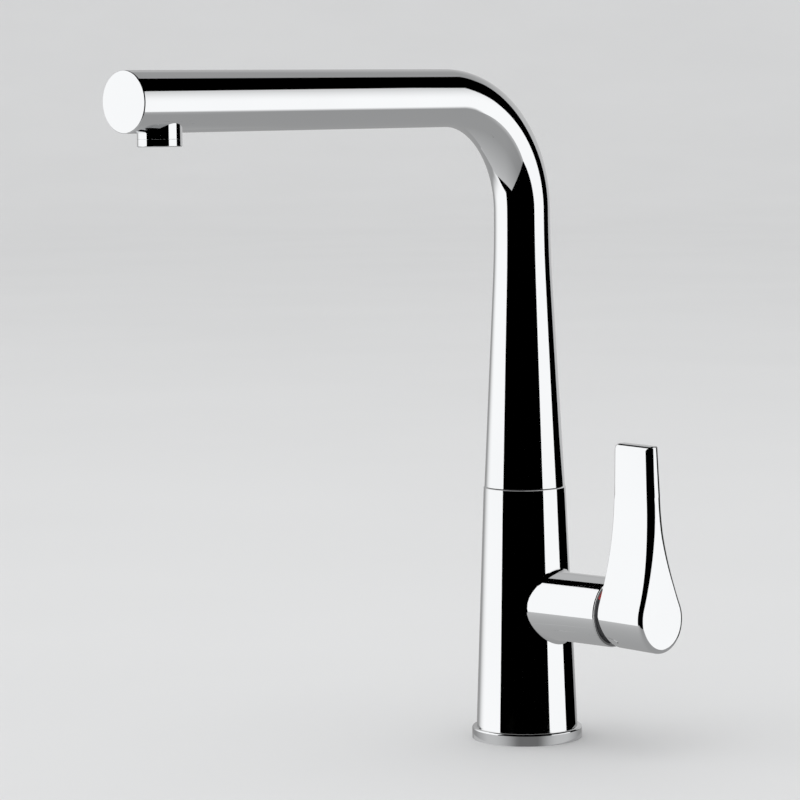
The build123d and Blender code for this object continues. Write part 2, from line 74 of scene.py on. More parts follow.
# Modelling: distances that count as the same place, angles of a sharp and of a straight edge, and how well
# two normals agree that look the same way or belong to one plane
WELD = 1e-7
NEAR = 1e-5
SHARP = radians(30)
STRAIGHT = radians(0.01)
ALIKE = 0.9
SAME = 0.999
FIT = 0.05 * MM

X = Vector((1, 0, 0))
Y = Vector((0, 1, 0))
Z = Vector((0, 0, 1))
DECK = Vector((0, 0, 0))


def low(node):
    """Lowest corner of a CAD node."""
    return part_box(node)[0]


def high(node):
    """Highest corner of a CAD node."""
    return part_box(node)[1]


# Places that the frame gives
JOINTS = {joint["name"]: joint for joint in frame["joints"]}
SLOT_OF = {part["node"]: part["material_slot"] for part in frame["record"]["subparts"]}
COLOUR_OF = {finish["slot"]: finish["base_color"] for finish in frame["record"]["materials"]}
RING_R = high("base_ring").x
RING_H = high("base_ring").z
BODY_TOP = high("body_casting").z
BARREL_Z = JOINTS["temperature_turn"]["pos_m"][2]
BARREL_END = high("body_casting").x
NUT_SEAT = low("cartridge_nut").x
NUT_BORE = high("cartridge_nut").y + FIT
CARTRIDGE_SEAT = low("cartridge_base").x
CARTRIDGE_BORE = high("cartridge_housing").y + FIT
NECK_BORE = high("swivel_neck").x + FIT
NECK_SEAT = low("swivel_neck").z
SPOUT_Z = low("spout_shell").z
SPOUT_FOOT_R = high("spout_shell").x
TUBE_R = high("spout_end_cap").x
SPOUT_H = high("spout_end_cap").z - TUBE_R
SPOUT_REACH = -low("spout_end_cap").y
SHELL_END = -low("spout_shell").y
PLUG_END = -high("spout_end_cap").y
CATCH_Z = (low("spout_retaining_screw").z + high("spout_retaining_screw").z) / 2
CATCH_R = (high("spout_retaining_screw").z - low("spout_retaining_screw").z) / 2 + FIT
OUTLET_R = high("outlet_spigot").x
OUTLET_Y = (low("outlet_spigot").y + high("outlet_spigot").y) / 2
OUTLET_TOP = high("outlet_spigot").z
OUTLET_SEAM = low("outlet_spigot").z
THREAD_TOP = high("aerator_washer").z
THREAD_R = high("aerator_washer").x + FIT
AERATOR_Z = low("aerator_shell").z
AERATOR_TOP = high("aerator_shell").z
AERATOR_LIP = low("aerator_insert").z
AERATOR_BORE = high("aerator_insert").x + FIT
LEVER_X = low("lever_handle").x
LEVER_R = high("lever_handle").y
BLADE_TOP = high("lever_handle").z
STEM_END = high("lever_stem").x + FIT
STEM_HALF = high("lever_stem").y + FIT
GRUB_X = (low("lever_grub_screw").x + high("lever_grub_screw").x) / 2
GRUB_R = high("lever_grub_screw").y + FIT

SPOUT_AXIS = Vector((0, 0, SPOUT_H))
BARREL_AXIS = Vector((0, 0, BARREL_Z))
OUTLET_AXIS = Vector((0, OUTLET_Y, 0))


def length(name, description, millimetres):
    """Length property, given in millimetres."""
    return FloatProperty(name=name, description=description, default=millimetres * MM, min=0.0,
                         unit="LENGTH", precision=5)


def angle(name, description, degrees):
    """Angle property, given in degrees."""
    return FloatProperty(name=name, description=description, default=radians(degrees), subtype="ANGLE")


def colour(name, description, default):
    """Colour property."""
    return FloatVectorProperty(name=name, description=description, default=default, min=0.0, max=1.0,
                               size=3, subtype="COLOR")


def level(name, description, default):
    """Strength property."""
    return FloatProperty(name=name, description=description, default=default, min=0.0)


class FaucetSizes(bpy.types.PropertyGroup):
    """Sizes of the polished pieces that the frame's boxes don't give."""

    ring_edge: length("Ring edge", "Radius of the deck ring's upper edge", 0.9)
    groove_inner: length("Gasket groove inside", "Inner radius of the groove under the ring", 20.65)
    groove_outer: length("Gasket groove outside", "Outer radius of the groove under the ring", 23.4)
    groove_depth: length("Gasket groove depth", "Depth of the groove under the ring", 2.0)
    spigot: length("Body spigot", "Radius of the body's foot inside the ring", 19.4)
    body_foot: length("Body foot", "Radius of the body where it stands on the ring", 22.97)
    body_top: length("Body top", "Radius of the body at the swivel seam", 18.59)
    cavity: length("Body cavity", "Radius of the hollow under the body", 17.0)
    cavity_roof: length("Cavity roof", "Height of the hollow under the body", 34.0)
    chamber: length("Water chamber", "Radius of the chamber under the swivel neck", 11.0)
    chamber_floor: length("Chamber floor", "Height of the chamber's floor", 79.9)
    barrel: length("Barrel", "Radius of the side barrel", 15.45)
    barrel_root: length("Barrel root", "Radius of the fillet between body and barrel", 2.0)
    barrel_edge: length("Barrel edge", "Radius of the edge at the barrel's mouth", 0.5)
    port: length("Supply port", "Radius of the two supply ports", 4.5)
    port_x: length("Port offset", "How far the ports stand behind the body's axis", 4.5)
    port_y: length("Port spacing", "How far each port stands to the side", 6.0)
    stud: length("Stud hole", "Radius of the fixing stud's hole", 3.4)
    stud_x: length("Stud offset", "How far the stud stands before the body's axis", 9.0)
    port_depth: length("Port depth", "Depth of the ports and of the stud hole", 12.0)
    bend: length("Bend", "Radius of the spout's bend, on its centre line", 50.6)
    flare: length("Flare", "Length over which the cone runs into the tube", 16.9)
    wall: length("Spout wall", "Wall of the spout's tube", 1.5)
    cap_edge: length("Cap edge", "Radius of the end cap's edge", 0.5)
    outlet_bore: length("Outlet bore", "Radius of the water way above the aerator", 6.5)
    aerator_edge: length("Aerator edge", "Radius of the aerator's lower edge", 0.5)
    aerator_lip: length("Aerator lip", "Width of the lip that holds the insert", 0.7)
    seam_edge: length("Outlet seam", "Radius of the two edges at the outlet's seam", 0.09)
    lever_depth: length("Lever depth", "Depth of the lever on its axis", 24.8)
    blade_start: length("Blade start", "Height above the axis where the blade begins", 53.5)
    blade_half: length("Blade half width", "Half the blade's width where it begins", 4.0)
    tip_half: length("Tip half width", "Half the blade's width at its top", 3.5)
    hub_edge: length("Hub edge", "Radius of the outer face's edge round the hub", 2.3)
    blade_edge: length("Blade edge", "Largest radius of the outer face's edge, on the blade", 3.8)
    tip_edge: length("Tip edge", "Radius of the outer face's edge at the blade's top", 3.2)
    crown_edge: length("Crown edge", "Radius of the side edges of the blade's top", 2.2)
    brow_edge: length("Brow edge", "Radius between the blade's top and its outer face", 0.7)
    rim_edge: length("Rim edge", "Radius of the inner face's edge round the hub", 0.5)
    tip_rim: length("Tip rim", "Radius of the inner face's edge at the blade's top", 2.9)
    droop: angle("Lever droop", "Slope of the lever's sides, outwards and down", 1.9)
    lean: angle("Face lean", "Lean of the lever's outer face", 2.5)
    relief: angle("Lever relief", "Angle by which the lever's lower half is cut back", 13.5)


class FaucetFinishes(bpy.types.PropertyGroup):
    """Colours of the finishes."""

    chrome: colour("Chrome", "Polished chrome", COLOUR_OF["chrome"])
    brass: colour("Brass", "Turned brass", COLOUR_OF["brass"])
    black_rubber: colour("Rubber", "Seals and gasket", COLOUR_OF["black_rubber"])
    black_plastic: colour("Black plastic", "Cartridge, index ring and glide ring", COLOUR_OF["black_plastic"])
    white_plastic: colour("White plastic", "Cartridge base, stem carrier and aerator insert",
                          COLOUR_OF["white_plastic"])
    grey_plastic: colour("Grey plastic", "Plug under the lever", COLOUR_OF["grey_plastic"])
    ceramic: colour("Ceramic", "Valve discs", COLOUR_OF["ceramic"])
    steel: colour("Steel", "Screws, stem and screen", COLOUR_OF["steel"])
    hot_red: colour("Hot mark", "Mark on the hot side", COLOUR_OF["hot_red"])
    cold_blue: colour("Cold mark", "Mark on the cold side", COLOUR_OF["cold_blue"])


class FaucetStudio(bpy.types.PropertyGroup):
    """Camera, floor, lamps and the cards that the chrome mirrors."""

    bearing: angle("Camera bearing", "Direction of the camera, from the spout's side to the lever's", 40.95)
    distance: FloatProperty(name="Camera distance", description="Distance from the body's axis",
                            default=1.50805, unit="LENGTH")
    height: FloatProperty(name="Camera height", description="Height above the deck", default=0.28882,
                          unit="LENGTH")
    heading: angle("Camera heading", "Turn of the camera about the upright", 43.0778)
    pitch: angle("Camera pitch", "Tilt of the camera from level", -5.0831)
    roll: angle("Camera roll", "Turn of the camera about its own line of sight", -0.7591)
    lens: FloatProperty(name="Lens", description="Focal length on a 36 mm sensor", default=150.55,
                        unit="CAMERA")
    floor: colour("Floor", "Floor and backdrop", (0.74, 0.745, 0.75))
    room: level("Room", "Grey of the room where no card stands", 0.36)
    # The table is a glowing card that only mirrors show: a painted reflection of a grey table.
    table: level("Table", "Grey of the table that the chrome mirrors from below", 0.36)
    softbox: level("Softboxes", "Brightness of the two softboxes", 1.16)
    ambient: level("Ambient", "Even light on dull surfaces", 0.92)
    lamp_power: FloatProperty(name="Lamp", description="Power of the overhead lamp", default=18.0,
                              subtype="POWER")


def ramp(value, start, stop):
    """Share of the way from the start to the stop, from 0 to 1."""
    return min(max((value - start) / (stop - start), 0.0), 1.0)


# Drawing and turning

def verts_in(made):
    """Corners among what an operator made."""
    return [item for item in made if isinstance(item, bmesh.types.BMVert)]


def edges_in(made):
    """Edges among what an operator made."""
    return [item for item in made if isinstance(item, bmesh.types.BMEdge)]


def draw(points):
    """Wire through the points."""
    bm = bmesh.new()
    pen = bm.verts.new(points[0])
    for point in points[1:]:
        pen = draw_to(bm, pen, point)
    return bm, pen


def draw_to(bm, pen, point):
    """Straight line from the pen to a point."""
    pen = bmesh.ops.extrude_vert_indiv(bm, verts=[pen])["verts"][0]
    pen.co = point
    return pen


def draw_arc(bm, pen, centre, axis, sweep, steps):
    """Arc from the pen about a centre."""
    made = bmesh.ops.spin(bm, geom=[pen], cent=centre, axis=axis, angle=sweep, steps=steps)
    return verts_in(made["geom_last"])[0]


def turn(bm, origin, axis):
    """Turns a wire into a round piece."""
    bmesh.ops.spin(bm, geom=bm.verts[:] + bm.edges[:], cent=origin, axis=axis, angle=2 * pi, steps=FACETS,
                   use_merge=True)
    bmesh.ops.remove_doubles(bm, verts=bm.verts, dist=WELD)


def lathe(outline, origin, axis, across, closed=False):
    """Round piece from an outline of radii and heights."""
    points = [origin + across * radius + axis * height for radius, height in outline]
    bm, pen = draw(points + points[:1] if closed else points)
    turn(bm, origin, axis)
    return bm


def close(bm):
    """Fills the open ends and turns the faces outwards."""
    bmesh.ops.holes_fill(bm, edges=bm.edges, sides=0)
    bmesh.ops.recalc_face_normals(bm, faces=bm.faces)


def circle_edges(bm, origin, axis, radius, height):
    """Edges of one circle of a round piece."""
    def on_circle(vert):
        out = vert.co - origin
        rise = out.dot(axis)
        return abs(rise - height) < NEAR and abs((out - axis * rise).length - radius) < NEAR
    return [edge for edge in bm.edges if all(on_circle(vert) for vert in edge.verts)]


def round_edges(bm, edges, radius, segments=EDGE_STEPS):
    """Rounds the edges."""
    bmesh.ops.bevel(bm, geom=edges, offset=radius, affect="EDGES", segments=segments, profile=0.5,
                    material=-1)


def open_window(bm, inside):
    """Takes out the faces whose middles pass a test, and gives the edges round the opening."""
    gone = [face for face in bm.faces if inside(face.calc_center_median())]
    rim = [edge for face in gone for edge in face.edges
           if any(not inside(other.calc_center_median()) for other in edge.link_faces)]
    bmesh.ops.delete(bm, geom=gone, context="FACES")
    return rim


def grow(bm, rim, turns, place):
    """Grows an open rim by one strip. Each corner keeps its turn and start, and goes to their place."""
    made = bmesh.ops.extrude_edge_only(bm, edges=rim)["geom"]
    kept = {}
    for vert in verts_in(made):
        root = next(edge.other_vert(vert) for edge in vert.link_edges if edge.other_vert(vert) in turns)
        kept[vert] = turns[root]
        vert.co = place(*turns[root])
    return edges_in(made), kept


# Finished pieces

def new_object(bm, name):
    """Object with the mesh's shape, smooth up to its sharp edges."""
    mesh = bpy.data.meshes.new(name)
    bm.to_mesh(mesh)
    bm.free()
    piece = bpy.data.objects.new(name, mesh)
    bpy.context.scene.collection.objects.link(piece)
    smooth(mesh)
    return piece


def smooth(mesh):
    """Smooth faces between sharp edges."""
    mesh.shade_smooth()
    mesh.set_sharp_from_angle(angle=SHARP)


def carve(piece, *cutters):
    """Takes the cutters' shapes out of a piece."""
    for cutter in cutters:
        cut = piece.modifiers.new(cutter.name, "BOOLEAN")
        cut.operation = "DIFFERENCE"
        cut.solver = "EXACT"
        cut.object = cutter
    whole = piece.data
    piece.data = bpy.data.meshes.new_from_object(piece.evaluated_get(bpy.context.evaluated_depsgraph_get()))
    piece.modifiers.clear()
    bpy.data.meshes.remove(whole)
    for cutter in cutters:
        bpy.data.objects.remove(cutter)
    smooth(piece.data)


def drill(name, radius, start, end, facets=HOLE_FACETS):
    """Round cutter from one point to another."""
    bm = bmesh.new()
    run = end - start
    place = Matrix.Translation((start + end) / 2) @ Z.rotation_difference(run).to_matrix().to_4x4()
    bmesh.ops.create_cone(bm, cap_ends=True, segments=facets, radius1=radius, radius2=radius,
                          depth=run.length, matrix=place)
    return new_object(bm, name)


def true_normals(piece, *rounds):
    """Gives each corner on a true round that round's normal, so that reflections run clean."""
    mesh = piece.data
    normals = []
    for face in mesh.polygons:
        for corner in face.loop_indices:
            point = mesh.vertices[mesh.loops[corner].vertex_index].co
            found = (on_round(point) for on_round in rounds)
            normals.append(next((out for out in found if out and out.dot(face.normal) > ALIKE), Vector()))
    mesh.normals_split_custom_set(normals)


def cone_round(foot_radius, foot, top_radius, top):
    """Normal of an upright cone."""
    slope = (foot_radius - top_radius) / (top - foot)

    def normal(point):
        out = Vector((point.x, point.y, 0))
        on_cone = abs(out.length - foot_radius + slope * (point.z - foot)) < NEAR
        inside = foot - NEAR < point.z < top + NEAR
        return (out.normalized() + Z * slope).normalized() if on_cone and inside else None
    return normal


def tube_round(origin, axis, radius):
    """Normal of a tube."""
    def normal(point):
        out = point - origin
        out -= axis * out.dot(axis)
        return out.normalized() if abs(out.length - radius) < NEAR else None
    return normal


def bend_round(centre, radius, tube):
    """Normal of a bent tube, in the plane across X."""
    def normal(point):
        spoke = point - centre
        spoke.x = 0
        out = point - centre - spoke.normalized() * radius
        return out.normalized() if abs(out.length - tube) < NEAR else None
    return normal


def place_piece(piece, body, node, material):
    """The piece stands for a CAD node and moves with its body. The other pieces don't mirror it."""
    piece.visible_glossy = False
    piece.data.materials.clear()
    piece.data.materials.append(material)
    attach(piece, body)
    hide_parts(node)
    return piece


def weigh_normals(piece):
    """Lets the large faces of a turned piece rule the shading at its rounded edges."""
    weigh = piece.modifiers.new("Large faces rule", "WEIGHTED_NORMAL")
    weigh.mode = "FACE_AREA"
    weigh.weight = 100
    weigh.keep_sharp = True


# Polished pieces

def build_base_ring(sizes, chrome):
    """Flat ring that covers the deck hole."""
    bore = sizes.spigot + FIT
    bm = lathe([(bore, 0), (sizes.groove_inner, 0), (sizes.groove_inner, sizes.groove_depth),
                (sizes.groove_outer, sizes.groove_depth), (sizes.groove_outer, 0), (RING_R, 0),
                (RING_R, RING_H), (bore, RING_H)], DECK, Z, X, closed=True)
    close(bm)
    round_edges(bm, circle_edges(bm, DECK, Z, RING_R, RING_H), sizes.ring_edge)
    ring = place_piece(new_object(bm, "polished_base_ring"), "body", "base_ring", chrome)
    weigh_normals(ring)


def body_radius(sizes, height):
    """Radius of the body's cone at a height."""
    share = (height - RING_H) / (BODY_TOP - RING_H)
    return sizes.body_foot + (sizes.body_top - sizes.body_foot) * share


def barrel_root(sizes, turn_angle, share):
    """Point on the fillet between body and barrel: 0 on the body, 1 on the barrel."""
    slope = (sizes.body_foot - sizes.body_top) / (BODY_TOP - RING_H)
    spoke = Vector((0, sin(turn_angle), cos(turn_angle)))
    centre = BARREL_AXIS + spoke * (sizes.barrel + sizes.barrel_root)
    reach = body_radius(sizes, centre.z) + sizes.barrel_root * hypot(1, slope)
    centre.x = sqrt(reach ** 2 - centre.y ** 2)
    body_normal = Vector((centre.x / reach, centre.y / reach, slope)).normalized()
    return centre - body_normal.slerp(spoke, share) * sizes.barrel_root


def window_half(sizes):
    """Half the height of the window in the body's cone that the barrel grows out of."""
    return sizes.barrel + 3 * sizes.barrel_root


def body_point(sizes, spin, start, share):
    """Point on the body's cone, on the way from the window's edge to the barrel's fillet."""
    point = start.lerp(barrel_root(sizes, spin, 0), share)
    scale = body_radius(sizes, point.z) / hypot(point.x, point.y)
    return Vector((point.x * scale, point.y * scale, point.z))


def grow_barrel(bm, sizes):
    """Grows the barrel out of a window in the body's cone, and its bore back in."""
    window_turn = radians(62.5)
    strips = 4
    steps = 8

    def inside(point):
        outside = hypot(point.x, point.y) > sizes.barrel
        ahead = abs(atan2(point.y, point.x)) < window_turn
        return outside and ahead and abs(point.z - BARREL_Z) < window_half(sizes)

    rim = open_window(bm, inside)
    corners = {vert for edge in rim for vert in edge.verts}
    turns = {vert: (atan2(vert.co.y, vert.co.z - BARREL_Z), vert.co.copy()) for vert in corners}
    for strip in range(strips):
        rim, turns = grow(bm, rim, turns,
                          lambda spin, start: body_point(sizes, spin, start, (strip + 1) / strips))
    for step in range(steps):
        rim, turns = grow(bm, rim, turns, lambda spin, start: barrel_root(sizes, spin, (step + 1) / steps))
    for x, radius in ((BARREL_END, sizes.barrel), (BARREL_END, NUT_BORE), (NUT_SEAT, NUT_BORE),
                      (NUT_SEAT, CARTRIDGE_BORE), (CARTRIDGE_SEAT, CARTRIDGE_BORE)):
        rim, turns = grow(bm, rim, turns,
                          lambda spin, start: Vector((x, radius * sin(spin), BARREL_Z + radius * cos(spin))))


def build_body(sizes, chrome):
    """Cone with the side barrel, its cavity, chamber, ports and stud hole."""
    rows = 7
    row = window_half(sizes) / rows
    heights = [RING_H] + [BARREL_Z + row * step for step in range(-rows, rows + 1)] + [BODY_TOP]
    bm = lathe([(sizes.cavity, sizes.cavity_roof), (sizes.cavity, 0), (sizes.spigot, 0),
                (sizes.spigot, RING_H)]
               + [(body_radius(sizes, height), height) for height in heights]
               + [(NECK_BORE, BODY_TOP), (NECK_BORE, NECK_SEAT), (sizes.chamber, NECK_SEAT),
                  (sizes.chamber, sizes.chamber_floor)], DECK, Z, X)
    grow_barrel(bm, sizes)
    close(bm)
    round_edges(bm, circle_edges(bm, BARREL_AXIS, X, sizes.barrel, BARREL_END), sizes.barrel_edge)
    body = new_object(bm, "polished_body")
    roof = Z * sizes.cavity_roof
    top = roof + Z * sizes.port_depth
    ports = [X * -sizes.port_x + Y * side * sizes.port_y for side in (-1, 1)]
    holes = [drill("port", sizes.port, port + roof - Z * MM, port + top) for port in ports]
    stud = X * sizes.stud_x
    holes.append(drill("stud_hole", sizes.stud, stud + roof - Z * MM, stud + top))
    carve(body, *holes)
    true_normals(body, cone_round(sizes.body_foot, RING_H, sizes.body_top, BODY_TOP),
                 tube_round(BARREL_AXIS, X, sizes.barrel))
    return place_piece(body, "body", "body_casting", chrome)


def build_spout(sizes, chrome):
    """Cone, bend and level arm of the spout, one tube with a wall."""
    bend_z = SPOUT_H - sizes.bend
    corner = bend_z - sizes.flare
    lean = atan2(SPOUT_FOOT_R - TUBE_R, corner - SPOUT_Z)
    touch = corner - sizes.flare * cos(lean)
    touch_r = TUBE_R + sizes.flare * sin(lean)
    flare_r = sizes.flare / tan(lean / 2)
    bm, pen = draw([X * SPOUT_FOOT_R + Z * SPOUT_Z, X * touch_r + Z * touch])
    draw_arc(bm, pen, X * (TUBE_R + flare_r) + Z * bend_z, Y, lean, FLARE_STEPS)
    turn(bm, DECK, Z)
    rim = circle_edges(bm, DECK, Z, TUBE_R, bend_z)
    bend_centre = Y * -sizes.bend + Z * bend_z
    bent = bmesh.ops.spin(bm, geom=rim + list({vert for edge in rim for vert in edge.verts}),
                          cent=bend_centre, axis=X, angle=pi / 2, steps=BEND_STEPS)["geom_last"]
    rim = edges_in(bent)
    before_outlet = -OUTLET_Y - 1.3 * OUTLET_R
    for y in (before_outlet, SHELL_END):
        made = bmesh.ops.extrude_edge_only(bm, edges=rim)["geom"]
        verts = verts_in(made)
        for vert in verts:
            vert.co.y = -y
        rim = [edge for edge in edges_in(made) if all(vert in verts for vert in edge.verts)]
    bmesh.ops.recalc_face_normals(bm, faces=bm.faces)
    bmesh.ops.solidify(bm, geom=bm.faces[:], thickness=sizes.wall)
    for vert in bm.verts:
        vert.co.z = max(vert.co.z, SPOUT_Z)
    spout = new_object(bm, "polished_spout")
    carve(spout,
          drill("outlet_hole", OUTLET_R + FIT, OUTLET_AXIS + Z * (OUTLET_SEAM - MM), OUTLET_AXIS + SPOUT_AXIS,
                FACETS),
          drill("catch_hole", CATCH_R, Z * CATCH_Z, Z * CATCH_Z + Y * 2 * TUBE_R))
    true_normals(spout, cone_round(SPOUT_FOOT_R, SPOUT_Z, touch_r, touch),
                 bend_round(bend_centre, sizes.bend, TUBE_R), tube_round(SPOUT_AXIS, Y, TUBE_R))
    return place_piece(spout, "spout", "spout_shell", chrome)


def build_end_cap(sizes, chrome):
    """Flat cap in the end of the arm."""
    plug = TUBE_R - sizes.wall - FIT
    bm = lathe([(0, SPOUT_REACH), (TUBE_R, SPOUT_REACH), (TUBE_R, SHELL_END), (plug, SHELL_END),
                (plug, PLUG_END), (0, PLUG_END)], SPOUT_AXIS, -Y, X)
    close(bm)
    round_edges(bm, circle_edges(bm, SPOUT_AXIS, -Y, TUBE_R, SPOUT_REACH), sizes.cap_edge)
    cap = place_piece(new_object(bm, "polished_end_cap"), "spout", "spout_end_cap", chrome)
    weigh_normals(cap)


def build_outlet_spigot(sizes, chrome):
    """Round boss under the arm."""
    bm = lathe([(OUTLET_R, OUTLET_SEAM), (OUTLET_R, OUTLET_TOP), (sizes.outlet_bore, OUTLET_TOP),
                (sizes.outlet_bore, THREAD_TOP), (THREAD_R, THREAD_TOP), (THREAD_R, OUTLET_SEAM)],
               OUTLET_AXIS, Z, X, closed=True)
    close(bm)
    round_edges(bm, circle_edges(bm, OUTLET_AXIS, Z, OUTLET_R, OUTLET_SEAM), sizes.seam_edge, SEAM_STEPS)
    spigot = place_piece(new_object(bm, "polished_outlet_spigot"), "spout", "outlet_spigot", chrome)
    spigot.visible_glossy = True
    weigh_normals(spigot)


def build_aerator_shell(sizes, chrome):
    """Ring under the boss that holds the aerator."""
    neck = THREAD_R - FIT
    lip = AERATOR_BORE - sizes.aerator_lip
    bm = lathe([(OUTLET_R, AERATOR_Z), (OUTLET_R, OUTLET_SEAM), (neck, OUTLET_SEAM), (neck, AERATOR_TOP),
                (AERATOR_BORE, AERATOR_TOP), (AERATOR_BORE, AERATOR_LIP), (lip, AERATOR_LIP),
                (lip, AERATOR_Z)], OUTLET_AXIS, Z, X, closed=True)
    close(bm)
    round_edges(bm, circle_edges(bm, OUTLET_AXIS, Z, OUTLET_R, AERATOR_Z), sizes.aerator_edge)
    round_edges(bm, circle_edges(bm, OUTLET_AXIS, Z, OUTLET_R, OUTLET_SEAM), sizes.seam_edge, SEAM_STEPS)
    aerator = place_piece(new_object(bm, "polished_aerator_shell"), "spout", "aerator_shell", chrome)
    aerator.visible_glossy = True
    weigh_normals(aerator)


def draw_lever_outline(sizes):
    """Drop-shaped outline of the lever as one face, seen along the barrel."""
    rise = sizes.blade_start
    half = sizes.blade_half
    hollow = (half ** 2 + rise ** 2 - LEVER_R ** 2) / (2 * (LEVER_R - half))
    hub = BARREL_AXIS + X * LEVER_X
    hollow_centre = hub + Y * (half + hollow) + Z * rise
    climb = asin(rise / (LEVER_R + hollow))
    bm = bmesh.new()
    pen = bm.verts.new(hub - Z * LEVER_R)
    pen = draw_arc(bm, pen, hub, X, pi / 2 + climb, HUB_STEPS)
    pen = draw_arc(bm, pen, hollow_centre, X, -climb, HOLLOW_STEPS)
    pen = draw_to(bm, pen, hub + Y * sizes.tip_half + Z * (BLADE_TOP - BARREL_Z))
    draw_to(bm, pen, X * LEVER_X + Z * BLADE_TOP)
    bmesh.ops.mirror(bm, geom=bm.verts[:] + bm.edges[:], matrix=Matrix.Identity(4), merge_dist=NEAR, axis="Y")
    bmesh.ops.remove_doubles(bm, verts=bm.verts, dist=NEAR)
    bmesh.ops.dissolve_limit(bm, angle_limit=STRAIGHT, verts=bm.verts, edges=[])
    bmesh.ops.edgeloop_fill(bm, edges=bm.edges)
    return bm


def slice_off(bm, point, normal):
    """Cuts away what lies beyond a plane and closes the cut."""
    cut = bmesh.ops.bisect_plane(bm, geom=bm.verts[:] + bm.edges[:] + bm.faces[:], dist=WELD, plane_co=point,
                                 plane_no=normal, clear_outer=True)["geom_cut"]
    bmesh.ops.edgeloop_fill(bm, edges=edges_in(cut))


def outer_radius(sizes, height):
    """Radius of the outer face's edge: it grows from the hub to the blade and eases towards the tip."""
    blade = BARREL_Z + sizes.blade_start
    growth = ramp(height, BARREL_Z + LEVER_R, blade - LEVER_R) * (sizes.blade_edge - sizes.hub_edge)
    return sizes.hub_edge + growth - ramp(height, blade, BLADE_TOP) * (sizes.blade_edge - sizes.tip_edge)


def rim_radius(sizes, height):
    """Radius of the inner face's edge: it grows from the hub to the tip."""
    return sizes.rim_edge + ramp(height, BARREL_Z + LEVER_R, BLADE_TOP) * (sizes.tip_rim - sizes.rim_edge)


def weigh_lever_edges(piece, sizes):
    """Sets how much of the largest radius each edge of the lever gets."""
    outer = Vector((cos(sizes.lean), 0, sin(sizes.lean)))
    bm = bmesh.new()
    bm.from_mesh(piece.data)
    weights = bm.edges.layers.float.new("bevel_weight_edge")
    for edge in bm.edges:
        normals = [face.normal for face in edge.link_faces]
        middle = (edge.verts[0].co + edge.verts[1].co) / 2
        from_axis = middle - BARREL_AXIS
        if hypot(from_axis.y, from_axis.z) < 2 * STEM_HALF or normals[0].dot(normals[1]) > cos(SHARP):
            continue
        at_outer_face = any(normal.dot(outer) > SAME for normal in normals)
        if any(normal.x < -ALIKE for normal in normals):
            edge[weights] = rim_radius(sizes, middle.z) / sizes.blade_edge
        elif any(normal.z > SAME for normal in normals):
            edge[weights] = (sizes.brow_edge if at_outer_face else sizes.crown_edge) / sizes.blade_edge
        elif at_outer_face:
            edge[weights] = outer_radius(sizes, middle.z) / sizes.blade_edge
    bm.to_mesh(piece.data)
    bm.free()


def build_lever(sizes, chrome):
    """Drop-shaped lever with a flat outer face and an upright blade."""
    bm = draw_lever_outline(sizes)
    made = bmesh.ops.extrude_face_region(bm, geom=bm.faces[:], use_keep_orig=True)["geom"]
    run = (X - Z * tan(sizes.droop)) * 2 * sizes.lever_depth
    bmesh.ops.translate(bm, verts=verts_in(made), vec=run)
    bmesh.ops.recalc_face_normals(bm, faces=bm.faces)
    axis_point = BARREL_AXIS + X * LEVER_X
    slice_off(bm, Z * BLADE_TOP, Z)
    slice_off(bm, axis_point + X * sizes.lever_depth, X * cos(sizes.lean) + Z * sin(sizes.lean))
    slice_off(bm, axis_point, -(X * cos(sizes.relief) + Z * sin(sizes.relief)))
    blade = BARREL_Z + sizes.blade_start
    cuts = 4
    for cut in range(cuts):
        bmesh.ops.bisect_plane(bm, geom=bm.verts[:] + bm.edges[:] + bm.faces[:], dist=WELD,
                               plane_co=Z * (blade + (BLADE_TOP - blade) * cut / cuts), plane_no=Z)
    bmesh.ops.recalc_face_normals(bm, faces=bm.faces)
    lever = new_object(bm, "polished_lever")
    socket = bmesh.new()
    bmesh.ops.create_cube(socket, size=2 * STEM_HALF)
    depth = STEM_END - LEVER_X + MM
    bmesh.ops.scale(socket, vec=(depth / (2 * STEM_HALF), 1, 1), verts=socket.verts)
    bmesh.ops.translate(socket, vec=BARREL_AXIS + X * (STEM_END - depth / 2), verts=socket.verts)
    grub = BARREL_AXIS + X * GRUB_X
    carve(lever, new_object(socket, "stem_socket"), drill("grub_hole", GRUB_R, grub - Z * 2 * LEVER_R, grub))
    weigh_lever_edges(lever, sizes)
    edges = lever.modifiers.new("Rounded edges", "BEVEL")
    edges.limit_method = "WEIGHT"
    edges.width = sizes.blade_edge
    edges.segments = LEVER_EDGE_STEPS
    edges.use_clamp_overlap = False
    edges.harden_normals = True
    return place_piece(lever, "lever", "lever_handle", chrome)


# Finishes

def new_finish(name, base, metallic, roughness):
    """Material with a plain shader to start from."""
    material = bpy.data.materials.new(name)
    material.use_nodes = True
    shader = material.node_tree.nodes["Principled BSDF"]
    shader.inputs["Base Color"].default_value = (*base, 1.0)
    shader.inputs["Metallic"].default_value = metallic
    shader.inputs["Roughness"].default_value = roughness
    return material, shader


def add_node(material, kind, **values):
    """Node with its values set."""
    node = material.node_tree.nodes.new(kind)
    for name, value in values.items():
        node.inputs[name].default_value = value
    return node


def grain(material, scale, detail=2.0, stretch=(1.0, 1.0, 1.0)):
    """Noise from 0 to 1 on the piece's own coordinates."""
    coordinates = add_node(material, "ShaderNodeTexCoord")
    mapping = add_node(material, "ShaderNodeMapping", Scale=stretch)
    noise = add_node(material, "ShaderNodeTexNoise", Scale=scale, Detail=detail)
    links = material.node_tree.links
    links.new(coordinates.outputs["Object"], mapping.inputs["Vector"])
    links.new(mapping.outputs["Vector"], noise.inputs["Vector"])
    return noise.outputs["Fac"]


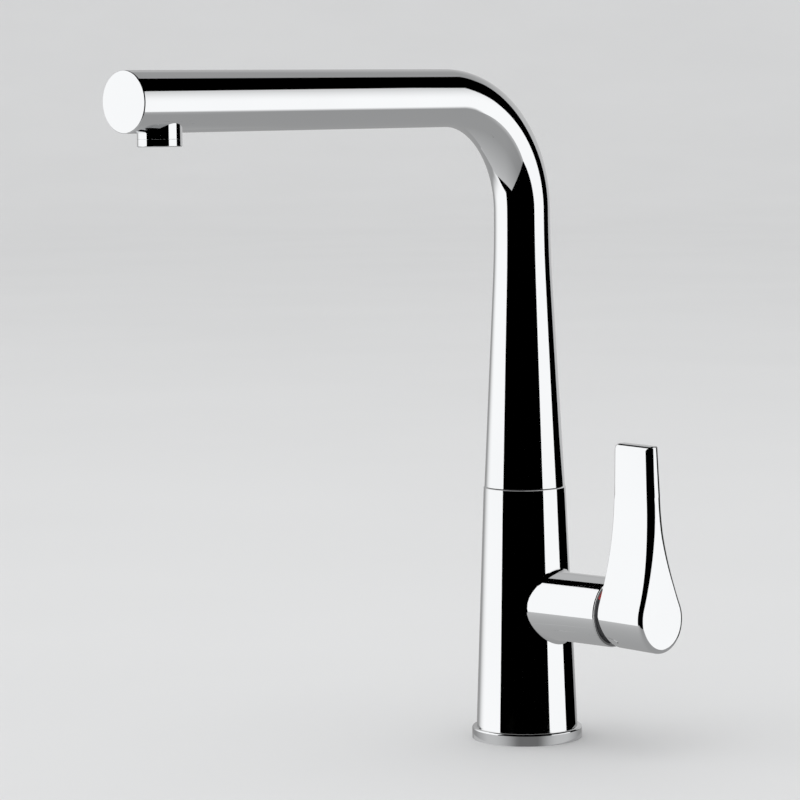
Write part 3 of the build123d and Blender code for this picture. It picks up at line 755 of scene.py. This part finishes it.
def vary_roughness(material, shader, pattern, smoothest, roughest):
    """Roughness between two levels, by a pattern."""
    spread = add_node(material, "ShaderNodeMapRange", **{"To Min": smoothest, "To Max": roughest})
    material.node_tree.links.new(pattern, spread.inputs["Value"])
    material.node_tree.links.new(spread.outputs["Result"], shader.inputs["Roughness"])


def vary_colour(material, shader, pattern, base, change):
    """Base colour a little darker and lighter, by a pattern."""
    blend = material.node_tree.nodes.new("ShaderNodeValToRGB")
    darker, lighter = blend.color_ramp.elements
    darker.position = 0.3
    lighter.position = 0.7
    darker.color = (*[part * (1 - change) for part in base], 1.0)
    lighter.color = (*[min(part * (1 + change), 1.0) for part in base], 1.0)
    material.node_tree.links.new(pattern, blend.inputs["Fac"])
    material.node_tree.links.new(blend.outputs["Color"], shader.inputs["Base Color"])


def emboss(material, shader, pattern, depth, strength):
    """Fine relief, by a pattern."""
    bump = add_node(material, "ShaderNodeBump", Strength=strength, Distance=depth)
    material.node_tree.links.new(pattern, bump.inputs["Height"])
    material.node_tree.links.new(bump.outputs["Normal"], shader.inputs["Normal"])


def polished_chrome(base):
    """Mirror chrome with the faintest haze."""
    material, shader = new_finish("polished_chrome", base, metallic=1.0, roughness=0.03)
    vary_roughness(material, shader, grain(material, scale=45.0, detail=4.0), smoothest=0.015, roughest=0.05)
    vary_colour(material, shader, grain(material, scale=12.0), base, change=0.015)
    return material


def turned_brass(base):
    """Brass with the fine rings of a lathe tool."""
    material, shader = new_finish("turned_brass", base, metallic=1.0, roughness=0.3)
    rings = grain(material, scale=400.0, stretch=(0.15, 0.15, 6.0))
    vary_roughness(material, shader, rings, smoothest=0.22, roughest=0.4)
    vary_colour(material, shader, grain(material, scale=80.0), base, change=0.08)
    emboss(material, shader, rings, depth=0.02 * MM, strength=0.4)
    return material


def soft_rubber(base):
    """Dull black rubber with a fine bloom."""
    material, shader = new_finish("soft_rubber", base, metallic=0.0, roughness=0.7)
    bloom = grain(material, scale=900.0, detail=3.0)
    vary_roughness(material, shader, bloom, smoothest=0.6, roughest=0.8)
    vary_colour(material, shader, bloom, base, change=0.2)
    return material


def moulded_plastic(name, base, roughness):
    """Moulded plastic with a fine even grain."""
    material, shader = new_finish(name, base, metallic=0.0, roughness=roughness)
    fine = grain(material, scale=1500.0)
    vary_roughness(material, shader, fine, smoothest=roughness * 0.85, roughest=roughness * 1.15)
    vary_colour(material, shader, grain(material, scale=60.0), base, change=0.06)
    emboss(material, shader, fine, depth=0.01 * MM, strength=0.3)
    return material


def lapped_ceramic(base):
    """White ceramic with a lapped sheen."""
    material, shader = new_finish("lapped_ceramic", base, metallic=0.0, roughness=0.2)
    vary_roughness(material, shader, grain(material, scale=300.0), smoothest=0.12, roughest=0.28)
    vary_colour(material, shader, grain(material, scale=700.0, detail=3.0), base, change=0.03)
    return material


def brushed_steel(base):
    """Steel with fine drawn lines."""
    material, shader = new_finish("brushed_steel", base, metallic=1.0, roughness=0.3)
    lines = grain(material, scale=700.0, stretch=(0.1, 1.0, 1.0))
    vary_roughness(material, shader, lines, smoothest=0.22, roughest=0.38)
    vary_colour(material, shader, lines, base, change=0.05)
    return material


def enamel(name, base):
    """Glossy paint of a mark."""
    material, shader = new_finish(name, base, metallic=0.0, roughness=0.25)
    vary_roughness(material, shader, grain(material, scale=500.0), smoothest=0.2, roughest=0.32)
    vary_colour(material, shader, grain(material, scale=900.0), base, change=0.06)
    return material


def get_chrome():
    """The one chrome finish that all polished pieces share."""
    found = bpy.data.materials.get("polished_chrome")
    return found or polished_chrome(bpy.context.scene.faucet_finishes.chrome)


def finish_inner_pieces(finishes):
    """Gives each CAD node that is still shown the finish of its slot."""
    by_slot = {
        "brass": turned_brass(finishes.brass),
        "black_rubber": soft_rubber(finishes.black_rubber),
        "black_plastic": moulded_plastic("black_plastic_grain", finishes.black_plastic, roughness=0.4),
        "white_plastic": moulded_plastic("white_plastic_grain", finishes.white_plastic, roughness=0.35),
        "grey_plastic": moulded_plastic("grey_plastic_grain", finishes.grey_plastic, roughness=0.4),
        "ceramic": lapped_ceramic(finishes.ceramic),
        "steel": brushed_steel(finishes.steel),
        "hot_red": enamel("hot_enamel", finishes.hot_red),
        "cold_blue": enamel("cold_enamel", finishes.cold_blue),
    }
    for node, piece in frame["nodes"].items():
        if not piece.hide_render:
            piece.material_slots[0].material = by_slot[SLOT_OF[node]]
            piece.visible_glossy = False


# Studio

# Cards stand far off: distances in metres, directions and elevations in degrees
CARD_R = 16.0
FLAG_R = 16.4
NEAR_FLAG_R = 15.7
WALL_R = 16.8
CARD_STEPS = 48
FOOT = -45.0
CEILING = 50.6

# Left softbox: its soft left border and its right edge shift low down, above a dimmer card
LEFT_START = -148.0
LEFT_END = -64.0
LEFT_FOOT = -33.0
LEFT_BORDER = 36.0
LEFT_START_SHIFT = 25.0
LEFT_START_SHIFTS_AT = (-8.0, -25.0)
LEFT_END_SHIFT = -32.0
LEFT_END_SHIFTS_AT = (-22.0, LEFT_FOOT)
LEFT_LOW_END = -97.0
LEFT_LOW_LIGHT = 0.58

# Right softbox: dimmer towards its top, with a soft slanted foot at its right end
RIGHT_START = 53.0
RIGHT_BORDER = 88.0
RIGHT_END = 101.0
RIGHT_END_SHIFT = 3.4
RIGHT_END_SHIFTS_AT = (0.5, 11.0)
RIGHT_LOW_END = 112.0
RIGHT_LOW_TOP = -14.0
RIGHT_TOP = 28.0
RIGHT_FULL = -2.0
RIGHT_TOP_SHARE = 0.6
SLANT_KNEE = 99.0
SLANT_FOOT = -27.0
SLANT_BEFORE_KNEE = 1.2
SLANT_BEYOND_KNEE = 0.6
SLANT_SOFT_BELOW = 3.5
SLANT_SOFT_ABOVE = 4.5

# Flags and walls: the flag's right end shifts by an angle between two elevations
FLAG_START = -110.0
FLAG_END = 136.0
FLAG_END_SHIFTS = ((12.0, -3.0, -5.0), (-8.0, 2.0, 9.0), (10.0, 12.0, 30.0), (5.0, 34.0, 42.0))
BEHIND = 180.0
BACK_FLAG_END = -125.0
LEFT_WALL_FOOT = 0.0
LEFT_WALL_TOP = 46.3
LEFT_WALL_GAIN = 0.17
LEFT_WALL_GAINS_AT = (5.0, 35.0)
RIGHT_WALL_START = 120.0
RIGHT_WALL_FOOT = -8.0
RIGHT_WALL_TOP = 36.0
RIGHT_WALL_GAIN = 0.2
RIGHT_WALL_FULL = 14.0

# Dark card in the lever's gap, painted shade that the mirrors show in place of the lever: part of a ring round the
# barrel's axis, a little off to the side
GAP_SHIFT = 2.4 * MM
GAP_START = -38.0
GAP_SWEEP = -157.0
GAP_PROUD = 0.7 * MM
GAP_WIDTH = 3.0 * MM
GAP_LIGHT = 0.12

# Cards at the deck ring: a low one on it, painted with the body's reflection and what the body mirrors, and a
# leaning one before it, painted with a sheen
RING_CARD_SIDE = 90.0
RING_CARD_INSET = 2.2 * MM
RING_CARD_H = 0.5 * MM
RING_CARD_SHARE = 0.8
RING_CARD_LEFT = -130.0
SHEEN_SIDE = 140.0
SHEEN_R = 62.7 * MM
SHEEN_LEAN = 5.2 * MM
SHEEN_Z = -7.4 * MM
SHEEN_H = 6.4 * MM
SHEEN_MIDDLE = 0.155
SHEEN_GAIN = 0.42
SHEEN_LEFT = (-15.0, -62.0)
SHEEN_RIGHT = (20.0, 56.0)
SHEEN_LOSS = 0.28
SHEEN_LOSES_AT = (75.0, 115.0)

# Painted reflection of a table under the deck, on a card that only mirrors show, in metres: both back corners are
# cut off, and it is lighter towards its sides
TABLE_Z = -0.08
TABLE_TURN = 7.0
TABLE_FRONT = 0.53
TABLE_BACK = 0.39
TABLE_LEFT = 0.484
TABLE_RIGHT = 0.545
LEFT_CORNER = -0.2
RIGHT_CORNER = -0.1
RIGHT_CORNER_SLOPE = 1.08
TABLE_FRONT_LOSS = 0.06
TABLE_LOSES_AT = (0.2, TABLE_FRONT)
TABLE_LEFT_GAIN = 0.24
TABLE_LEFT_GAINS_AT = (0.06, -TABLE_LEFT)
TABLE_RIGHT_GAIN = 0.25
TABLE_RIGHT_GAINS_AT = (0.66 * TABLE_RIGHT, TABLE_RIGHT)
TABLE_RIGHT_GAIN_DEPTH = (0.05, 0.2)

# Floor, lamp and camera
FLOOR_R = 6.0
SWEEP_R = 8.0
SWEEP = radians(50)
SWEEP_STEPS = 32
LAMP_SIZE = 3.0
LAMP_DIRECTION = -40.0
LAMP_OUT = 0.8
LAMP_H = 3.0
SENSOR_MM = 36.0
SIGHT = 50.0


def ease(value, start, stop):
    """Share of the way from the start to the stop, quick at first and slow at last."""
    return sin(pi / 2 * ramp(value, start, stop))


def compass(studio, degrees):
    """Level direction, turned from the camera's side towards its right."""
    turned = studio.bearing + radians(degrees - 90)
    return Vector((cos(turned), sin(turned), 0))


def card_light(name, back_only=False):
    """Light of the cards, as bright as each corner says, on both sides or with a clear front."""
    material = bpy.data.materials.new(name)
    material.use_nodes = True
    nodes = material.node_tree.nodes
    nodes.clear()
    corner = nodes.new("ShaderNodeAttribute")
    corner.attribute_name = "brightness"
    light = nodes.new("ShaderNodeEmission")
    output = nodes.new("ShaderNodeOutputMaterial")
    links = material.node_tree.links
    links.new(corner.outputs["Fac"], light.inputs["Strength"])
    surface = light.outputs["Emission"]
    if back_only:
        side = nodes.new("ShaderNodeNewGeometry")
        clear = nodes.new("ShaderNodeBsdfTransparent")
        choose = nodes.new("ShaderNodeMixShader")
        links.new(side.outputs["Backfacing"], choose.inputs[0])
        links.new(clear.outputs["BSDF"], choose.inputs[1])
        links.new(surface, choose.inputs[2])
        surface = choose.outputs["Shader"]
    links.new(surface, output.inputs["Surface"])
    material.cycles.emission_sampling = "NONE"
    return material


def hang_card(name, material, place, brightness):
    """Stage card that only mirrors show: a sheet put in place and lit corner by corner."""
    bm = bmesh.new()
    bmesh.ops.create_grid(bm, x_segments=CARD_STEPS, y_segments=CARD_STEPS, size=0.5)
    glow = bm.verts.layers.float.new("brightness")
    for vert in bm.verts:
        across, up = vert.co.x + 0.5, vert.co.y + 0.5
        vert.co = place(across, up)
        vert[glow] = brightness(across, up)
    card = new_object(bm, name)
    card.data.materials.append(material)
    card.visible_camera = False
    card.visible_diffuse = False
    card.visible_transmission = False
    card.visible_shadow = False


def upright_card(studio, name, material, sides, ends, brightness, right_edge=None, distance=CARD_R):
    """Curved card between two directions and two elevations, lit by a function of both."""
    def elevation(up):
        return ends[0] + (ends[1] - ends[0]) * up

    def direction(across, up):
        right = right_edge(elevation(up)) if right_edge else sides[1]
        return sides[0] + (right - sides[0]) * across

    hang_card(name, material,
              lambda across, up: (compass(studio, direction(across, up))
                                  + Z * tan(radians(elevation(up)))) * distance,
              lambda across, up: brightness(direction(across, up), elevation(up)))


def dark(direction, elevation):
    """Brightness of a black flag."""
    return 0.0


def set_softboxes(studio, light):
    """Two softboxes, with the soft and slanted borders that the chrome shows."""
    def left_light(direction, elevation):
        start = LEFT_START + LEFT_START_SHIFT * ramp(elevation, *LEFT_START_SHIFTS_AT)
        return studio.room + (studio.softbox - studio.room) * ease(direction, start, start + LEFT_BORDER)

    def left_end(elevation):
        return LEFT_END + LEFT_END_SHIFT * ramp(elevation, *LEFT_END_SHIFTS_AT)

    def right_light(direction, elevation):
        share = RIGHT_TOP_SHARE + (1 - RIGHT_TOP_SHARE) * ease(elevation, RIGHT_TOP, RIGHT_FULL)
        return studio.softbox * share

    def right_end(elevation):
        return RIGHT_END + RIGHT_END_SHIFT * ramp(elevation, *RIGHT_END_SHIFTS_AT)

    def border_light(direction, elevation):
        slope = SLANT_BEYOND_KNEE if direction > SLANT_KNEE else SLANT_BEFORE_KNEE
        foot = SLANT_FOOT + (direction - SLANT_KNEE) * slope
        share = ramp(elevation, foot - SLANT_SOFT_BELOW, foot + SLANT_SOFT_ABOVE)
        return studio.room + (right_light(direction, elevation) - studio.room) * share

    upright_card(studio, "softbox_left", light, (LEFT_START, LEFT_END), (LEFT_FOOT, CEILING), left_light,
                 left_end)
    upright_card(studio, "softbox_left_low", light, (LEFT_START, LEFT_LOW_END), (FOOT, LEFT_FOOT),
                 lambda direction, elevation: LEFT_LOW_LIGHT)
    upright_card(studio, "softbox_right", light, (RIGHT_START, RIGHT_BORDER), (FOOT, RIGHT_TOP), right_light)
    upright_card(studio, "softbox_right_border", light, (RIGHT_BORDER, RIGHT_END), (FOOT, RIGHT_TOP),
                 border_light, right_end)
    upright_card(studio, "softbox_right_low", light, (RIGHT_END, RIGHT_LOW_END), (FOOT, RIGHT_LOW_TOP),
                 border_light)


def set_flags(studio, light):
    """Black behind the softboxes, grey walls at the back on both sides and a black ceiling."""
    def flag_end(elevation):
        return sum((shift * ramp(elevation, *between) for shift, *between in FLAG_END_SHIFTS), FLAG_END)

    def left_wall(direction, elevation):
        return studio.room + LEFT_WALL_GAIN * ease(elevation, *LEFT_WALL_GAINS_AT)

    def right_wall(direction, elevation):
        return studio.room + RIGHT_WALL_GAIN * ramp(elevation, RIGHT_WALL_TOP, RIGHT_WALL_FULL)

    def ceiling_place(across, up):
        height = Z * CARD_R * tan(radians(CEILING))
        return compass(studio, 360 * across) * FLAG_R * up + height

    upright_card(studio, "flag", light, (FLAG_START, FLAG_END), (FOOT, CEILING), dark, flag_end, FLAG_R)
    upright_card(studio, "wall_left", light, (-BEHIND, LEFT_START), (LEFT_WALL_FOOT, LEFT_WALL_TOP),
                 left_wall)
    upright_card(studio, "wall_right", light, (RIGHT_WALL_START, BEHIND), (RIGHT_WALL_FOOT, RIGHT_WALL_TOP),
                 right_wall, distance=WALL_R)
    upright_card(studio, "flag_back", light, (-BEHIND, BACK_FLAG_END), (LEFT_WALL_TOP, CEILING), dark,
                 distance=NEAR_FLAG_R)
    hang_card("ceiling", light, ceiling_place, dark)


def set_gap_card(light):
    """Dark card in the lever's gap that only mirrors show: painted shade, and a painted reflection in place of the
    lever.
    """
    centre = BARREL_AXIS + X * (LEVER_X + FIT) + Y * GAP_SHIFT

    def place(across, up):
        turned = radians(GAP_START + GAP_SWEEP * across)
        return centre + (Y * sin(turned) + Z * cos(turned)) * (LEVER_R + GAP_PROUD - GAP_WIDTH * up)

    hang_card("flag_in_gap", light, place, lambda across, up: GAP_LIGHT)


def set_ring_cards(studio, light):
    """Painted reflections in the deck ring's mirrors: one that stands for the body, and a painted sheen that
    stands for the table close by.
    """
    def side_of(across, side):
        return 2 * side * across - side

    def foot_place(across, up):
        out = compass(studio, side_of(across, RING_CARD_SIDE))
        return out * (RING_R - RING_CARD_INSET) + Z * (RING_H + RING_CARD_H * up)

    def foot_light(across, up):
        mirrored = 2 * side_of(across, RING_CARD_SIDE)
        if abs(mirrored) > -LEFT_START:
            return studio.room
        lit = RING_CARD_LEFT < mirrored < LEFT_END or RIGHT_START < mirrored < RIGHT_END
        return RING_CARD_SHARE * studio.softbox if lit else 0.0

    def sheen_place(across, up):
        out = compass(studio, side_of(across, SHEEN_SIDE))
        return out * (SHEEN_R - SHEEN_LEAN * up) + Z * (SHEEN_H * up + SHEEN_Z)

    def sheen_light(across, up):
        direction = side_of(across, SHEEN_SIDE)
        gain = SHEEN_GAIN * (ease(direction, *SHEEN_LEFT) + ease(direction, *SHEEN_RIGHT))
        return SHEEN_MIDDLE + gain - SHEEN_LOSS * ramp(abs(direction), *SHEEN_LOSES_AT)

    hang_card("foot_in_ring", light, foot_place, foot_light)
    hang_card("sheen_before_ring", card_light("sheen_light", back_only=True), sheen_place, sheen_light)


def set_painted_table_reflection(studio, light):
    """Card that only mirrors show, a painted reflection of a grey table close under the deck, with both back
    corners cut off.
    """
    ahead = compass(studio, TABLE_TURN)
    side = compass(studio, TABLE_TURN + 90)

    def depth(up):
        return up * (TABLE_FRONT + TABLE_BACK) - TABLE_BACK

    def sideways(across, up):
        right = TABLE_RIGHT - RIGHT_CORNER_SLOPE * max(RIGHT_CORNER - depth(up), 0.0)
        left = TABLE_LEFT - max(LEFT_CORNER - depth(up), 0.0)
        return across * (left + right) - left

    def place(across, up):
        return side * sideways(across, up) + ahead * depth(up) + Z * TABLE_Z

    def table_light(across, up):
        from_middle = sideways(across, up)
        at_front = ramp(depth(up), *TABLE_RIGHT_GAIN_DEPTH)
        return (studio.table - TABLE_FRONT_LOSS * ramp(depth(up), *TABLE_LOSES_AT)
                + TABLE_LEFT_GAIN * ramp(from_middle, *TABLE_LEFT_GAINS_AT)
                + TABLE_RIGHT_GAIN * ramp(from_middle, *TABLE_RIGHT_GAINS_AT) * at_front)

    hang_card("table", light, place, table_light)


def set_cards(studio):
    """All that the chrome mirrors."""
    light = card_light("card_light")
    set_softboxes(studio, light)
    set_flags(studio, light)
    set_gap_card(light)
    set_ring_cards(studio, light)
    set_painted_table_reflection(studio, light)


def set_backdrop(studio):
    """Pale floor that rises into a wall all round."""
    bm, pen = draw([DECK, X * FLOOR_R])
    draw_arc(bm, pen, X * FLOOR_R + Z * SWEEP_R, Y, -SWEEP, SWEEP_STEPS)
    turn(bm, DECK, Z)
    bmesh.ops.recalc_face_normals(bm, faces=bm.faces)
    material, shader = new_finish("pale_floor", studio.floor, metallic=0.0, roughness=0.9)
    vary_colour(material, shader, grain(material, scale=3.0), studio.floor, change=0.01)
    backdrop = new_object(bm, "backdrop")
    backdrop.data.materials.append(material)
    backdrop.visible_glossy = False


def set_light(studio):
    """Overhead lamp, and a world that is even for dull surfaces and grey in the chrome."""
    lamp = bpy.data.lights.new("overhead_lamp", "AREA")
    lamp.shape = "DISK"
    lamp.size = LAMP_SIZE
    lamp.energy = studio.lamp_power
    holder = bpy.data.objects.new("overhead_lamp", lamp)
    holder.location = compass(studio, LAMP_DIRECTION) * LAMP_OUT + Z * LAMP_H
    holder.rotation_euler = (DECK - holder.location).to_track_quat("-Z", "Y").to_euler()
    holder.visible_glossy = False
    bpy.context.scene.collection.objects.link(holder)
    world = bpy.data.worlds.new("studio")
    world.use_nodes = True
    nodes = world.node_tree.nodes
    path = nodes.new("ShaderNodeLightPath")
    choose = nodes.new("ShaderNodeMix")
    choose.data_type = "RGBA"
    choose.inputs["A"].default_value = (studio.ambient, studio.ambient, studio.ambient, 1.0)
    choose.inputs["B"].default_value = (studio.room, studio.room, studio.room, 1.0)
    world.node_tree.links.new(path.outputs["Is Glossy Ray"], choose.inputs["Factor"])
    world.node_tree.links.new(choose.outputs["Result"], nodes["Background"].inputs["Color"])
    bpy.context.scene.world = world


def set_camera(studio):
    """Camera at the photograph's angle."""
    lens = bpy.data.cameras.new("camera")
    lens.sensor_fit = "HORIZONTAL"
    lens.sensor_width = SENSOR_MM
    lens.lens = studio.lens
    lens.clip_end = SIGHT
    camera = bpy.data.objects.new("camera", lens)
    aim = Matrix.Rotation(studio.heading, 4, "Z") @ Matrix.Rotation(pi / 2 + studio.pitch, 4, "X")
    place = Matrix.Translation(compass(studio, 0) * studio.distance + Z * studio.height)
    camera.matrix_world = place @ aim @ Matrix.Rotation(studio.roll, 4, "Z")
    bpy.context.scene.collection.objects.link(camera)
    bpy.context.scene.camera = camera


# Operators, panel and registration

class FAUCET_OT_base_ring(bpy.types.Operator):
    """Turn the flat ring at the foot"""

    bl_idname = "faucet.base_ring"
    bl_label = "Deck ring"

    def execute(self, context):
        build_base_ring(context.scene.faucet_sizes, get_chrome())
        return {"FINISHED"}


class FAUCET_OT_body(bpy.types.Operator):
    """Make the conical body with its side barrel"""

    bl_idname = "faucet.body"
    bl_label = "Body"

    def execute(self, context):
        build_body(context.scene.faucet_sizes, get_chrome())
        return {"FINISHED"}


class FAUCET_OT_spout(bpy.types.Operator):
    """Bend the spout and close its end"""

    bl_idname = "faucet.spout"
    bl_label = "Spout"

    def execute(self, context):
        build_spout(context.scene.faucet_sizes, get_chrome())
        build_end_cap(context.scene.faucet_sizes, get_chrome())
        return {"FINISHED"}


class FAUCET_OT_outlet(bpy.types.Operator):
    """Turn the boss under the arm and the ring of the aerator"""

    bl_idname = "faucet.outlet"
    bl_label = "Outlet"

    def execute(self, context):
        build_outlet_spigot(context.scene.faucet_sizes, get_chrome())
        build_aerator_shell(context.scene.faucet_sizes, get_chrome())
        return {"FINISHED"}


class FAUCET_OT_lever(bpy.types.Operator):
    """Make the drop-shaped lever"""

    bl_idname = "faucet.lever"
    bl_label = "Lever"

    def execute(self, context):
        build_lever(context.scene.faucet_sizes, get_chrome())
        return {"FINISHED"}


class FAUCET_OT_finishes(bpy.types.Operator):
    """Give the inner pieces their finishes"""

    bl_idname = "faucet.finishes"
    bl_label = "Finishes"

    def execute(self, context):
        finish_inner_pieces(context.scene.faucet_finishes)
        return {"FINISHED"}


class FAUCET_OT_studio(bpy.types.Operator):
    """Set up the camera, the floor, the light and the cards"""

    bl_idname = "faucet.studio"
    bl_label = "Studio"

    def execute(self, context):
        studio = context.scene.faucet_studio
        set_camera(studio)
        set_backdrop(studio)
        set_light(studio)
        set_cards(studio)
        context.scene.view_settings.view_transform = "Standard"
        return {"FINISHED"}


OPERATORS = (FAUCET_OT_base_ring, FAUCET_OT_body, FAUCET_OT_spout, FAUCET_OT_outlet, FAUCET_OT_lever,
             FAUCET_OT_finishes, FAUCET_OT_studio)
GROUPS = {"faucet_sizes": FaucetSizes, "faucet_finishes": FaucetFinishes, "faucet_studio": FaucetStudio}


class FAUCET_PT_panel(bpy.types.Panel):
    """Steps and values of the faucet"""

    bl_idname = "FAUCET_PT_panel"
    bl_label = "Chrome kitchen faucet"
    bl_space_type = "VIEW_3D"
    bl_region_type = "UI"
    bl_category = "Faucet"

    def draw(self, context):
        for operator in OPERATORS:
            self.layout.operator(operator.bl_idname)
        for group in GROUPS:
            box = self.layout.box()
            values = getattr(context.scene, group)
            for name in values.__annotations__:
                box.prop(values, name)


CLASSES = (*GROUPS.values(), *OPERATORS, FAUCET_PT_panel)


def register():
    """Registers the classes and hangs the values on the scene."""
    for item in CLASSES:
        bpy.utils.register_class(item)
    for name, group in GROUPS.items():
        setattr(bpy.types.Scene, name, PointerProperty(type=group))


def unregister():
    """Takes the values and the classes away."""
    for name in GROUPS:
        delattr(bpy.types.Scene, name)
    for item in reversed(CLASSES):
        bpy.utils.unregister_class(item)


def main():
    """Builds the faucet and its studio."""
    register()
    bpy.ops.faucet.base_ring()
    bpy.ops.faucet.body()
    bpy.ops.faucet.spout()
    bpy.ops.faucet.outlet()
    bpy.ops.faucet.lever()
    bpy.ops.faucet.finishes()
    bpy.ops.faucet.studio()


if __name__ == "__main__":
    main()
